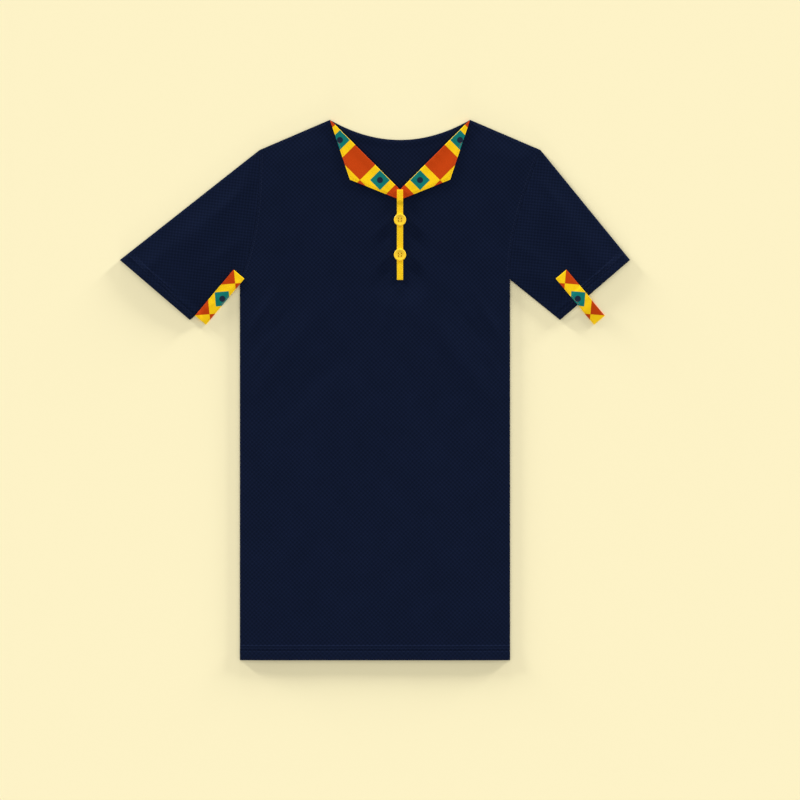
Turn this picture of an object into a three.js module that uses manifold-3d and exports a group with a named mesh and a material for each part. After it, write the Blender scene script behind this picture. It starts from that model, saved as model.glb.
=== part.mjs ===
// A polo shirt laid flat on its back, front up, with its sleeves spread.
// Millimetres: X runs across the shirt, Y from the hem up to the neck, Z off the table.
// The wearer's right is on -X. The table is at Z = 0, and the origin is under the middle of the outline.
// Every piece that is cut and sewn is a closed solid of its own, a seam gap away from its neighbours.

import * as THREE from "three";
import { mergeVertices } from "three/addons/utils/BufferGeometryUtils.js";
import Module from "manifold-3d";

const wasm = await Module();
wasm.setup();

// ---- Driving dimensions --------------------------------------------------------------------

// Cloth
const CLOTH = 1.2;
const SEAM_GAP = 0.3;
const STACK = 2 * CLOTH + SEAM_GAP;

// Body, laid flat
const BODY_WIDTH = 405;
const BODY_LENGTH = 810;
const UNDERARM_ABOVE_HEM = 570;

// Shoulders and neck, which lie a little to the wearer's left of the body's middle
const YOKE_MIDDLE = 37.5;
const SHOULDER_WIDTH = 420;
const SHOULDER_DROP = 45;
const NECK_WIDTH = 210;
const BACK_NECK_DROP = 30;
const V_DEPTH = 105;
const ARMHOLE_BOW = 10;
const ARMHOLE_BOW_SKEW = 0.8;
const ARMHOLE_GAP = 0.55;

// Sleeves: each cuff runs from its tip in towards the body and down
const CUFF_SPAN = 765;
const CUFF_TIP_DROP = 210;
const CUFF_IN = 105;
const CUFF_DOWN = 90;

// Collar leaves, sewn along the V and turned down over the front
const COLLAR_CLOTH = 1.5;
const COLLAR_ROLL = 0.8;
const COLLAR_ROLL_RUN = 12;
const COLLAR_ROLL_EASE = 24;
const COLLAR_POINT_OUT = 75;
const COLLAR_POINT_DROP = 90;
const COLLAR_BOTTOM_DROP = 120;
const COLLAR_TIP_SHARE = 0.012;

// Placket tape and its two buttons
const TAPE_WIDTH = 9;
const TAPE_LENGTH = 135;
const TAPE_CLOTH = 1;
const TAPE_STEP_START = 1.5;
const TAPE_STEP_RUN = 5;
const BUTTON_DROPS = { button_upper: 150, button_lower: 202.5 };
const BUTTON_RADIUS = 9;
const BUTTON_THICKNESS = 2.8;
const BUTTON_EDGE = { footInset: 1, waistShare: 0.4, browInset: 0.5, browShare: 0.85 };
const BUTTON_DISH_RADIUS = 6.2;
const BUTTON_DISH_DEPTH = 0.4;
const BUTTON_HOLE_RADIUS = 1;
const BUTTON_HOLE_SPREAD = 2;
const BUTTON_SIDES = 28;
const BUTTON_HOLE_SIDES = 8;

// Sleeve tabs: flat strips sewn on at the sleeves and hanging past their edges
const TAB_LENGTH = 90;
const TAB_WIDTH = 21;
const TAB_CLOTH = 1;
const TAB_TURN = 50;
const TAB_OUT = 241.3;
const TAB_TOP_DROP = 231.5;
const TAB_DROOP_START = 2.5;
const TAB_DROOP_RUN = 13;

// Mesh steps
const FRONT_GRID = { columns: 32, bodyRows: 26, yokeRows: 14 };
const BACK_GRID = { columns: 24, bodyRows: 3, yokeRows: 14 };
const SLEEVE_SECTIONS = 14;
const SLEEVE_ACROSS = 12;
const FOLD_STEPS = 4;
const LEAF_ROWS = 12;
const LEAF_ACROSS = 5;
const TAPE_ROWS = 54;
const TAB_ROWS = 15;
const TAB_ACROSS = 5;

// How far the upper cloth stands off the lower: a little fullness, and soft ridges and troughs.
// x, y: middle; turn: degrees from +X; length, width: its spread; rise: height, below 0 for a trough.
const FULLNESS = 1.3;
const FLAT_BY_SEAM = 36;
const FLAT_BY_TAPE = 12;
const CREASES = [
  { x: -118, y: -215, turn: 84, length: 170, width: 24, rise: 1.3 },
  { x: -52, y: -165, turn: 95, length: 130, width: 20, rise: -0.6 },
  { x: 98, y: -240, turn: 97, length: 150, width: 26, rise: 1.2 },
  { x: 30, y: -290, turn: 88, length: 100, width: 22, rise: 0.9 },
  { x: -130, y: 60, turn: 52, length: 90, width: 18, rise: 1.2 },
  { x: -84, y: 18, turn: 47, length: 80, width: 16, rise: -0.6 },
  { x: 132, y: 40, turn: 126, length: 95, width: 19, rise: 1.3 },
  { x: 78, y: -40, turn: 118, length: 85, width: 18, rise: -0.5 },
  { x: -60, y: 215, turn: 66, length: 70, width: 20, rise: 0.7 },
  { x: 150, y: 225, turn: 108, length: 75, width: 20, rise: 0.8 },
  { x: -268, y: 232, turn: 38, length: 80, width: 22, rise: 1.1 },
  { x: -312, y: 168, turn: 46, length: 50, width: 20, rise: 0.6 },
  { x: 292, y: 238, turn: 130, length: 75, width: 22, rise: 1.1 },
  { x: 246, y: 214, turn: 142, length: 50, width: 20, rise: -0.4 },
];

// ---- Places worked out from the dimensions --------------------------------------------------

const HEM_Y = -BODY_LENGTH / 2;
const NECK_Y = BODY_LENGTH / 2;
const UNDERARM_Y = HEM_Y + UNDERARM_ABOVE_HEM;
const SHOULDER_Y = NECK_Y - SHOULDER_DROP;
const V_BOTTOM_Y = NECK_Y - V_DEPTH;

const point = (x, y) => ({ x, y });
const mix = (a, b, share) => a + (b - a) * share;
const mixPoints = (a, b, share) => point(mix(a.x, b.x, share), mix(a.y, b.y, share));
const distance = (a, b) => Math.hypot(a.x - b.x, a.y - b.y);

// side is -1 for the wearer's right and 1 for the wearer's left
const underarm = (side) => point((side * BODY_WIDTH) / 2, UNDERARM_Y);
const hemCorner = (side) => point((side * BODY_WIDTH) / 2, HEM_Y);
const shoulder = (side) => point(YOKE_MIDDLE + (side * SHOULDER_WIDTH) / 2, SHOULDER_Y);
const neckPoint = (side) => point(YOKE_MIDDLE + (side * NECK_WIDTH) / 2, NECK_Y);
const cuffTip = (side) => point((side * CUFF_SPAN) / 2, NECK_Y - CUFF_TIP_DROP);
const cuffLow = (side) => point(cuffTip(side).x - side * CUFF_IN, cuffTip(side).y - CUFF_DOWN);
const vBottom = point(YOKE_MIDDLE, V_BOTTOM_Y);

// The armhole seam, from the underarm at 0 to the shoulder at 1, bowed in towards the body
const armholeBow = (share) => ARMHOLE_BOW * Math.sin(Math.PI * share ** ARMHOLE_BOW_SKEW);

function armhole(side, share) {
  const chord = mixPoints(underarm(side), shoulder(side), share);
  return point(chord.x - side * armholeBow(share), chord.y);
}

// ---- The lie of the upper cloth ---------------------------------------------------------------

function smooth(value) {
  const share = Math.min(Math.max(value, 0), 1);
  return share * share * (3 - 2 * share);
}

function distanceToLine(x, y, line) {
  let nearest = Infinity;
  for (let i = 1; i < line.length; i += 1) {
    const from = line[i - 1];
    const run = point(line[i].x - from.x, line[i].y - from.y);
    const along = ((x - from.x) * run.x + (y - from.y) * run.y) / (run.x ** 2 + run.y ** 2);
    const foot = mixPoints(from, line[i], Math.min(Math.max(along, 0), 1));
    nearest = Math.min(nearest, distance(point(x, y), foot));
  }
  return nearest;
}

const SIDES = [-1, 1];
const ARMHOLE_SHARES = Array.from({ length: 9 }, (_, i) => i / 8);

// The cloth lies flat along these seams, folds and edges, and for some way beside the tape
const seamLines = SIDES.flatMap((side) => [
  [hemCorner(side), underarm(side)],
  ARMHOLE_SHARES.map((share) => armhole(side, share)),
  [underarm(side), cuffLow(side)],
  [shoulder(side), cuffTip(side)],
  [shoulder(side), neckPoint(side), vBottom],
]);
const tapeLine = [vBottom, point(YOKE_MIDDLE, V_BOTTOM_Y - TAPE_LENGTH)];

function distanceToFlat(x, y) {
  const fromSeams = seamLines.map((line) => distanceToLine(x, y, line));
  return Math.max(Math.min(...fromSeams, distanceToLine(x, y, tapeLine) - FLAT_BY_TAPE), 0);
}

function creaseRise(x, y, crease) {
  const turn = THREE.MathUtils.degToRad(crease.turn);
  const along = (x - crease.x) * Math.cos(turn) + (y - crease.y) * Math.sin(turn);
  const across = (y - crease.y) * Math.cos(turn) - (x - crease.x) * Math.sin(turn);
  return crease.rise * Math.exp(-((along / crease.length) ** 2) - (across / crease.width) ** 2);
}

// How far the upper cloth is lifted off its flat lie at a place
function lift(x, y) {
  const stand = CREASES.reduce((sum, crease) => sum + creaseRise(x, y, crease), FULLNESS);
  return Math.max(stand, 0) * smooth(distanceToFlat(x, y) / FLAT_BY_SEAM);
}

const upperCloth = (x, y) => STACK + lift(x, y);

// ---- Closed walls ---------------------------------------------------------------------------

// Rows of points joined into triangles. The rows of a ring close on themselves.
class Skin {
  constructor() {
    this.positions = [];
    this.triangles = [];
  }

  add(x, y, z) {
    this.positions.push(x, y, z);
    return this.positions.length / 3 - 1;
  }

  quad(a, b, c, d) {
    this.triangles.push(a, b, c, a, c, d);
  }

  strip(rowA, rowB) {
    for (let i = 1; i < rowA.length; i += 1) {
      this.quad(rowA[i - 1], rowA[i], rowB[i], rowB[i - 1]);
    }
  }

  volume() {
    let six = 0;
    const corner = (i) => new THREE.Vector3().fromArray(this.positions, 3 * i);
    for (let i = 0; i < this.triangles.length; i += 3) {
      const [a, b, c] = this.triangles.slice(i, i + 3).map(corner);
      six += a.dot(b.cross(c));
    }
    return six / 6;
  }

  geometry() {
    if (this.volume() < 0) {
      this.triangles.reverse();
    }
    const geometry = new THREE.BufferGeometry();
    geometry.setAttribute("position", new THREE.Float32BufferAttribute(this.positions, 3));
    geometry.setIndex(this.triangles);
    geometry.computeVertexNormals();
    return geometry;
  }
}

// A sheet of rows by columns. place(row, column) gives x, y, low and high for steps from 0.
function sheetGeometry(rows, columns, place) {
  const skin = new Skin();
  const low = [];
  const high = [];
  for (let row = 0; row <= rows; row += 1) {
    low.push([]);
    high.push([]);
    for (let column = 0; column <= columns; column += 1) {
      const spot = place(row, column);
      low[row].push(skin.add(spot.x, spot.y, spot.low));
      high[row].push(skin.add(spot.x, spot.y, spot.high));
    }
  }
  for (let row = 1; row <= rows; row += 1) {
    skin.strip(high[row - 1], high[row]);
    skin.strip(low[row], low[row - 1]);
  }
  skin.strip(low[0], high[0]);
  skin.strip(high[rows], low[rows]);
  const column = (layer, index) => layer.map((ids) => ids[index]);
  skin.strip(column(high, 0), column(low, 0));
  skin.strip(column(low, columns), column(high, columns));
  return skin.geometry();
}

// A tube open at both ends. ring(section, inset) gives the points of one closed section.
function tubeGeometry(sections, ring) {
  const skin = new Skin();
  const rowOf = (section, inset) => {
    const ids = ring(section, inset).map((spot) => skin.add(spot.x, spot.y, spot.z));
    return [...ids, ids[0]];
  };
  const steps = Array.from({ length: sections + 1 }, (_, section) => section);
  const outer = steps.map((section) => rowOf(section, 0));
  const inner = steps.map((section) => rowOf(section, CLOTH));
  for (let section = 1; section <= sections; section += 1) {
    skin.strip(outer[section - 1], outer[section]);
    skin.strip(inner[section], inner[section - 1]);
  }
  skin.strip(inner[0], outer[0]);
  skin.strip(outer[sections], inner[sections]);
  return skin.geometry();
}

// ---- Body panels ------------------------------------------------------------------------------

// How far along the neckline x is, from 0 at the wearer's right to 1, and the edge's height there
const neckShare = (x) => (x - neckPoint(-1).x) / NECK_WIDTH;
const backNeckDrop = (share) => 4 * BACK_NECK_DROP * share * (1 - share);
const frontNeckDrop = (share) => V_DEPTH * (1 - Math.abs(2 * share - 1));

function topEdge(x, neckDrop) {
  const share = neckShare(x);
  if (share >= 0 && share <= 1) {
    return NECK_Y - neckDrop(share);
  }
  const past = share < 0 ? neckPoint(-1).x - x : x - neckPoint(1).x;
  return NECK_Y - (past * SHOULDER_DROP) / ((SHOULDER_WIDTH - NECK_WIDTH) / 2);
}

// A place on a body panel: the rows run from the hem to the underarms, then on to the top edge
function panelPlace(grid, row, column, neckDrop) {
  const share = column / grid.columns;
  const lowX = mix(hemCorner(-1).x, hemCorner(1).x, share);
  if (row <= grid.bodyRows) {
    return point(lowX, mix(HEM_Y, UNDERARM_Y, row / grid.bodyRows));
  }
  const rise = (row - grid.bodyRows) / grid.yokeRows;
  const topX = mix(shoulder(-1).x, shoulder(1).x, share);
  const bow = armholeBow(rise) * (1 - 2 * share);
  return point(mix(lowX, topX, rise) + bow, mix(UNDERARM_Y, topEdge(topX, neckDrop), rise));
}

function backPanel() {
  const { columns, bodyRows, yokeRows } = BACK_GRID;
  return sheetGeometry(bodyRows + yokeRows, columns, (row, column) => {
    const { x, y } = panelPlace(BACK_GRID, row, column, backNeckDrop);
    return { x, y, low: 0, high: CLOTH };
  });
}

function frontPanel() {
  const { columns, bodyRows, yokeRows } = FRONT_GRID;
  return sheetGeometry(bodyRows + yokeRows, columns, (row, column) => {
    const { x, y } = panelPlace(FRONT_GRID, row, column, frontNeckDrop);
    const high = upperCloth(x, y);
    return { x, y, low: high - CLOTH, high };
  });
}

// ---- Sleeves ----------------------------------------------------------------------------------

// The section of a flattened tube: distances across its width, heights, and which points lie on top
function flatRing(width, inset) {
  const fold = STACK / 2;
  const radius = fold - inset;
  const ring = [];
  for (let i = 0; i <= SLEEVE_ACROSS; i += 1) {
    ring.push({ across: mix(fold, width - fold, i / SLEEVE_ACROSS), z: STACK - inset, onTop: true });
  }
  for (let i = 1; i < FOLD_STEPS; i += 1) {
    const turn = Math.PI * (0.5 - i / FOLD_STEPS);
    ring.push({ across: width - fold + radius * Math.cos(turn), z: fold + radius * Math.sin(turn) });
  }
  for (let i = SLEEVE_ACROSS; i >= 0; i -= 1) {
    ring.push({ across: mix(fold, width - fold, i / SLEEVE_ACROSS), z: inset });
  }
  for (let i = 1; i < FOLD_STEPS; i += 1) {
    const turn = Math.PI * (i / FOLD_STEPS - 0.5);
    ring.push({ across: fold - radius * Math.cos(turn), z: fold + radius * Math.sin(turn) });
  }
  return ring;
}

// A sleeve from its armhole seam to its cuff: folded along the top, seamed along the underarm
function sleeve(side) {
  const seamed = (share) => {
    const seam = armhole(side, 1 - share);
    return point(seam.x + side * ARMHOLE_GAP, seam.y);
  };
  const cuff = (share) => mixPoints(cuffTip(side), cuffLow(side), share);
  const place = (along, share) => mixPoints(seamed(share), cuff(share), along);
  return tubeGeometry(SLEEVE_SECTIONS, (section, inset) => {
    const along = section / SLEEVE_SECTIONS;
    const width = distance(place(along, 0), place(along, 1));
    return flatRing(width, inset).map((spot) => {
      const { x, y } = place(along, spot.across / width);
      return { x, y, z: spot.onTop ? spot.z + lift(x, y) : spot.z };
    });
  });
}

// ---- Collar, placket tape and buttons ---------------------------------------------------------

// How high a leaf's rolled fold stands along the V, easing out towards the placket tape
function leafRoll(x, fromFold) {
  const ease = smooth((Math.abs(x - YOKE_MIDDLE) - TAPE_WIDTH / 2) / COLLAR_ROLL_EASE);
  return COLLAR_ROLL * ease * Math.exp(-((fromFold / COLLAR_ROLL_RUN) ** 2));
}

// One collar leaf, from its tip at the shoulder to the middle of the V
function collarLeaf(side) {
  const neck = neckPoint(side);
  const leafPoint = point(YOKE_MIDDLE + side * COLLAR_POINT_OUT, NECK_Y - COLLAR_POINT_DROP);
  const clear = SEAM_GAP / 2;
  const shortened = (from, drop) => {
    const end = point(YOKE_MIDDLE, NECK_Y - drop);
    return mixPoints(from, end, 1 - clear / Math.abs(end.x - from.x));
  };
  const innerEnd = shortened(neck, V_DEPTH);
  const outerEnd = shortened(leafPoint, COLLAR_BOTTOM_DROP);
  const inner = (share) => mixPoints(neck, innerEnd, share);
  const outer = (share) =>
    share < 0.5 ? mixPoints(neck, leafPoint, 2 * share) : mixPoints(leafPoint, outerEnd, 2 * share - 1);
  return sheetGeometry(LEAF_ROWS, LEAF_ACROSS, (row, column) => {
    const share = Math.max(row / LEAF_ROWS, COLLAR_TIP_SHARE);
    const from = inner(share);
    const { x, y } = mixPoints(from, outer(share), column / LEAF_ACROSS);
    const low = upperCloth(x, y) + SEAM_GAP;
    return { x, y, low, high: low + COLLAR_CLOTH + leafRoll(x, distance(from, point(x, y))) };
  });
}

// The tape lies on the front, and steps up over the bottom ends of the collar
function tapeUnderside(y) {
  const stepLow = NECK_Y - COLLAR_BOTTOM_DROP - TAPE_STEP_START - TAPE_STEP_RUN;
  const onCollar = smooth((y - stepLow) / TAPE_STEP_RUN);
  return STACK + SEAM_GAP + onCollar * (COLLAR_CLOTH + SEAM_GAP);
}

function placketTape() {
  return sheetGeometry(TAPE_ROWS, 1, (row, column) => {
    const x = YOKE_MIDDLE + (column - 0.5) * TAPE_WIDTH;
    const y = V_BOTTOM_Y - (TAPE_LENGTH * row) / TAPE_ROWS;
    const low = tapeUnderside(y);
    return { x, y, low, high: low + TAPE_CLOTH };
  });
}

function toSolid(geometry) {
  const bare = geometry.clone();
  bare.deleteAttribute("normal");
  bare.deleteAttribute("uv");
  const merged = mergeVertices(bare, 1e-4);
  return new wasm.Manifold(
    new wasm.Mesh({
      numProp: 3,
      vertProperties: new Float32Array(merged.attributes.position.array),
      triVerts: new Uint32Array(merged.index.array),
    }),
  );
}

function toGeometry(solid) {
  const mesh = solid.getMesh();
  const geometry = new THREE.BufferGeometry();
  geometry.setAttribute("position", new THREE.BufferAttribute(mesh.vertProperties, 3));
  geometry.setIndex(new THREE.BufferAttribute(mesh.triVerts, 1));
  geometry.computeVertexNormals();
  return geometry;
}

// A dished four-hole button standing on Z = 0
function buttonGeometry() {
  const rim = (BUTTON_RADIUS + BUTTON_DISH_RADIUS) / 2;
  const bore = [BUTTON_HOLE_RADIUS, BUTTON_HOLE_RADIUS, 3 * BUTTON_THICKNESS, BUTTON_HOLE_SIDES];
  const dishTop = BUTTON_THICKNESS - BUTTON_DISH_DEPTH;
  const profile = [
    new THREE.Vector2(0, 0),
    new THREE.Vector2(BUTTON_RADIUS - BUTTON_EDGE.footInset, 0),
    new THREE.Vector2(BUTTON_RADIUS, BUTTON_THICKNESS * BUTTON_EDGE.waistShare),
    new THREE.Vector2(BUTTON_RADIUS - BUTTON_EDGE.browInset, BUTTON_THICKNESS * BUTTON_EDGE.browShare),
    new THREE.Vector2(rim, BUTTON_THICKNESS),
    new THREE.Vector2(BUTTON_DISH_RADIUS, dishTop),
    new THREE.Vector2(0, dishTop),
  ];
  const disc = new THREE.LatheGeometry(profile, BUTTON_SIDES);
  disc.rotateX(Math.PI / 2);
  let solid = toSolid(disc);
  for (const x of [-BUTTON_HOLE_SPREAD, BUTTON_HOLE_SPREAD]) {
    for (const y of [-BUTTON_HOLE_SPREAD, BUTTON_HOLE_SPREAD]) {
      const hole = new THREE.CylinderGeometry(...bore);
      hole.rotateX(Math.PI / 2);
      hole.translate(x, y, 0);
      solid = solid.subtract(toSolid(hole));
    }
  }
  return toGeometry(solid);
}

// ---- Sleeve tabs ------------------------------------------------------------------------------

const outline = [
  hemCorner(-1),
  underarm(-1),
  cuffLow(-1),
  cuffTip(-1),
  shoulder(-1),
  shoulder(1),
  cuffTip(1),
  cuffLow(1),
  underarm(1),
  hemCorner(1),
];

function isOnShirt(x, y) {
  let inside = false;
  outline.forEach((corner, i) => {
    const next = outline[(i + 1) % outline.length];
    const crosses = corner.y > y !== next.y > y;
    if (crosses && x < mix(corner.x, next.x, (y - corner.y) / (next.y - corner.y))) {
      inside = !inside;
    }
  });
  return inside;
}

// The height that a tab's underside lies at: on the shirt, or drooping to the table beside it
function tabUnderside(x, y) {
  if (isOnShirt(x, y)) {
    return upperCloth(x, y) + SEAM_GAP;
  }
  const away = distanceToLine(x, y, [...outline, outline[0]]);
  return (upperCloth(x, y) + SEAM_GAP) * (1 - smooth((away - TAB_DROOP_START) / TAB_DROOP_RUN));
}

function sleeveTab(side) {
  const turn = THREE.MathUtils.degToRad(TAB_TURN);
  const down = point(side * Math.cos(turn), -Math.sin(turn));
  const over = point(Math.sin(turn), side * Math.cos(turn));
  const top = point(YOKE_MIDDLE + side * TAB_OUT, NECK_Y - TAB_TOP_DROP);
  return sheetGeometry(TAB_ROWS, TAB_ACROSS, (row, column) => {
    const along = (TAB_LENGTH * row) / TAB_ROWS;
    const across = TAB_WIDTH * (column / TAB_ACROSS - 0.5);
    const x = top.x + down.x * along + over.x * across;
    const y = top.y + down.y * along + over.y * across;
    const low = tabUnderside(x, y);
    return { x, y, low, high: low + TAB_CLOTH };
  });
}

// ---- The shirt --------------------------------------------------------------------------------

const finish = (color, roughness) => new THREE.MeshStandardMaterial({ color, roughness, metalness: 0 });
const NAVY_KNIT = { color: 0x0f172a, roughness: 0.95 };
const PATTERNED_CLOTH = { color: 0xc2410c, roughness: 0.9 };
const YELLOW_TAPE = { color: 0xfacc15, roughness: 0.85 };
const YELLOW_PLASTIC = { color: 0xfacc15, roughness: 0.35 };

const shirt = new THREE.Group();

function sew(name, geometry, look) {
  const mesh = new THREE.Mesh(geometry, finish(look.color, look.roughness));
  mesh.name = name;
  shirt.add(mesh);
  return mesh;
}

sew("back_panel", backPanel(), NAVY_KNIT);
sew("front_panel", frontPanel(), NAVY_KNIT);
sew("sleeve_right", sleeve(-1), NAVY_KNIT);
sew("sleeve_left", sleeve(1), NAVY_KNIT);
sew("collar_right", collarLeaf(-1), PATTERNED_CLOTH);
sew("collar_left", collarLeaf(1), PATTERNED_CLOTH);
sew("placket_tape", placketTape(), YELLOW_TAPE);
sew("sleeve_tab_right", sleeveTab(-1), PATTERNED_CLOTH);
sew("sleeve_tab_left", sleeveTab(1), PATTERNED_CLOTH);

const buttonUnderside = STACK + SEAM_GAP + TAPE_CLOTH + SEAM_GAP;
for (const [name, drop] of Object.entries(BUTTON_DROPS)) {
  const button = sew(name, buttonGeometry(), YELLOW_PLASTIC);
  button.position.set(YOKE_MIDDLE, NECK_Y - drop, buttonUnderside);
}

export default shirt;
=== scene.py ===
"""A navy pique polo shirt laid flat, with a patterned collar, a yellow placket tape and sleeve strips.

Sizes and places are in millimetres in the model's frame: X across the shirt, Y up to the neck and
Z off the table. MM turns them to metres where a mesh is made. The wearer's right is on -X.
"""

import math

import bpy
import numpy as np
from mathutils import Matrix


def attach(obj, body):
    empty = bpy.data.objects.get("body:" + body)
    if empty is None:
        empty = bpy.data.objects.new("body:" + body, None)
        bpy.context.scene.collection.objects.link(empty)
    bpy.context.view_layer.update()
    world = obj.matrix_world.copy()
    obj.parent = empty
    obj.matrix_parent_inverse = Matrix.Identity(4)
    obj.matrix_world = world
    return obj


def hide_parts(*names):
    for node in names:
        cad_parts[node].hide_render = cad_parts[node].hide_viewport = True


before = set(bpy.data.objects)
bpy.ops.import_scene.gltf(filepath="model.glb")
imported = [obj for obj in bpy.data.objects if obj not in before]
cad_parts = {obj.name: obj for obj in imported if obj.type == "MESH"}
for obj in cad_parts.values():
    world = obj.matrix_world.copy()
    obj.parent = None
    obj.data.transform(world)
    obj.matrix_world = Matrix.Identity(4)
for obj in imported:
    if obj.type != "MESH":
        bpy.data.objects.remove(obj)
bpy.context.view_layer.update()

MM = 0.001

# ---- Sizes ----

# Cloth layers: the body lies in two, a seam gap apart
CLOTH = 1.2
SEAM_GAP = 0.3
STACK = 2 * CLOTH + SEAM_GAP
ROUNDED_EDGE = 0.45
THIN_ROUNDED_EDGE = 0.3

# Body, shoulders and neck
BODY_WIDTH = 405
BODY_LENGTH = 810
UNDERARM_ABOVE_HEM = 570
YOKE_MIDDLE = 37.5
SHOULDER_WIDTH = 420
SHOULDER_DROP = 45
NECK_WIDTH = 210
BACK_NECK_DROP = 30
V_DEPTH = 105
ARMHOLE_BOW = 10
ARMHOLE_BOW_SKEW = 0.8
ARMHOLE_GAP = 0.55

# Sleeves
CUFF_SPAN = 765
CUFF_TIP_DROP = 210
CUFF_IN = 105
CUFF_DOWN = 90

# Collar leaves
COLLAR_CLOTH = 1.5
COLLAR_ROLL = 0.8
COLLAR_ROLL_RUN = 12
COLLAR_ROLL_EASE = 24
COLLAR_POINT_OUT = 75
COLLAR_POINT_DROP = 90
COLLAR_BOTTOM_DROP = 120
COLLAR_TIP_SHARE = 0.012
COLLAR_ROUNDING = 0.6
COLLAR_STITCH_INSIDE = 2
COLLAR_STITCH_START = 36
COLLAR_STITCH_CORNER = 3
COLLAR_STITCH_END = 7
COLLAR_STITCH_RISE = 0.05
COLLAR_GROOVE = 0.2

# Placket tape and buttons
TAPE_WIDTH = 9
TAPE_LENGTH = 135
TAPE_CLOTH = 1
TAPE_STEP_START = 1.5
TAPE_STEP_RUN = 5
TAPE_STITCH_INSIDE = 1.3
TAPE_STITCH_END = 1.5
TAPE_STITCH_DEPTH = 0.06
TAPE_GROOVE = 0.12
TAPE_GROOVE_WIDTH = 0.6
BUTTON_DROPS = {"button_upper": 150, "button_lower": 202.5}
BUTTON_RADIUS = 9
BUTTON_THICKNESS = 2.8
BUTTON_DISH_DEPTH = 0.4
BUTTON_DISH_SLOPE = 1.2
BUTTON_RIM = 2.2
BUTTON_ROUNDING = 0.55
BUTTON_HOLE_RADIUS = 1
BUTTON_HOLES_ACROSS = (-2, 2)
BUTTON_THREAD = 0.7
STRAND_REACH = 1.7
STRAND_RISE = 0.15

# Sleeve strips
TAB_LENGTH = 90
TAB_WIDTH = 21
TAB_CLOTH = 1
TAB_TURN = 50
TAB_OUT = 241.3
TAB_TOP_DROP = 231.5
TAB_DROOP_START = 2.5
TAB_DROOP_RUN = 13
TAB_STITCH_INSIDE = 1.6
TAB_STITCH_END = 3
TAB_STITCH_DEPTH = 0.08
TAB_GROOVE = 0.14
TAB_GROOVE_WIDTH = 0.7

# Turned hems: how deep, how much the doubled cloth stands up, and where its two stitch rows run
HEM_DEPTH = 22
CUFF_HEM_DEPTH = 18
HEM_RISE = 0.55
HEM_EDGE = 1.6
HEM_EDGE_START = 1
TWIN_NEEDLE = 5
STITCH_INSIDE = 2.5
STITCH_GROOVE = 0.35
GROOVE_WIDTH = 0.9
HEM_STITCH_END = 3
TOPSTITCH_INSIDE = 4
TOPSTITCH_END = 8

# The back neck's binding, and the rolls of thread and cloth edge inside the seams
NECK_BINDING = 8
BINDING_RISE = 0.275
BINDING_EDGE = 1.2
ARMHOLE_ROLL = 0.95
SEAM_ROLL = 0.5

# Sewing thread, and how deep a stitch sinks into the cloth
THREAD = 0.45
FINE_THREAD = 0.3
STITCH_SINK = 0.05
STITCH_LENGTH = 2.6
STITCH_PITCH = 3.4

# The printed repeat, and where one of its dots lies: on the shirt, and from a strip's top corner
TILE = 60
COLLAR_DOT = (-52.5, 374.4)
TAB_DOT = (15.1, 44.3)

# ---- Places ----

HEM_Y = -BODY_LENGTH / 2
NECK_Y = BODY_LENGTH / 2
UNDERARM_Y = HEM_Y + UNDERARM_ABOVE_HEM
SHOULDER_Y = NECK_Y - SHOULDER_DROP
V_BOTTOM_Y = NECK_Y - V_DEPTH
V_BOTTOM = np.array([YOKE_MIDDLE, V_BOTTOM_Y])
SIDES = (-1, 1)
SIDE_NAMES = {-1: "right", 1: "left"}


def place(x, y):
    return np.array([x, y], dtype=float)


def hem_corner(side):
    return place(side * BODY_WIDTH / 2, HEM_Y)


def underarm(side):
    return place(side * BODY_WIDTH / 2, UNDERARM_Y)


def shoulder(side):
    return place(YOKE_MIDDLE + side * SHOULDER_WIDTH / 2, SHOULDER_Y)


def neck_point(side):
    return place(YOKE_MIDDLE + side * NECK_WIDTH / 2, NECK_Y)


def cuff_tip(side):
    return place(side * CUFF_SPAN / 2, NECK_Y - CUFF_TIP_DROP)


def cuff_low(side):
    return cuff_tip(side) - place(side * CUFF_IN, CUFF_DOWN)


def mix(a, b, share):
    return a + (b - a) * share


def between(a, b, shares):
    """Places on the straight line from a to b."""
    return a + (b - a) * np.asarray(shares, dtype=float)[..., None]


def armhole_bow(shares):
    return ARMHOLE_BOW * np.sin(np.pi * np.asarray(shares, dtype=float) ** ARMHOLE_BOW_SKEW)


def armhole(side, shares):
    """The armhole seam from the underarm, 0, to the shoulder, 1, bowed in towards the body."""
    chord = between(underarm(side), shoulder(side), shares)
    chord[..., 0] -= side * armhole_bow(shares)
    return chord


def smooth(value):
    share = np.clip(value, 0, 1)
    return share * share * (3 - 2 * share)


def distance_to(x, y, line):
    """The distance from each place to a line of straight runs."""
    nearest = np.full(np.shape(x), np.inf)
    for start, end in zip(line[:-1], line[1:]):
        run = end - start
        along = np.clip(((x - start[0]) * run[0] + (y - start[1]) * run[1]) / (run @ run), 0, 1)
        gap = np.hypot(x - start[0] - along * run[0], y - start[1] - along * run[1])
        nearest = np.minimum(nearest, gap)
    return nearest


def groove(distance, width):
    """The shape of the dip that a row of stitches makes: 1 at the row, and 0 away from it."""
    return np.exp(-((distance / width) ** 2))


def rounding(inside, radius):
    """How far below its face a rounded edge lies, at a distance inside it."""
    across = radius - np.minimum(inside, radius)
    return radius - np.sqrt(radius**2 - across**2)


# ---- The lie of the upper cloth ----

# The cloth's slack, and how far from a seam and from the tape's middle it is held flat
FULLNESS = 1.3
FLAT_BY_SEAM = 36
FLAT_BY_TAPE = 12
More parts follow.
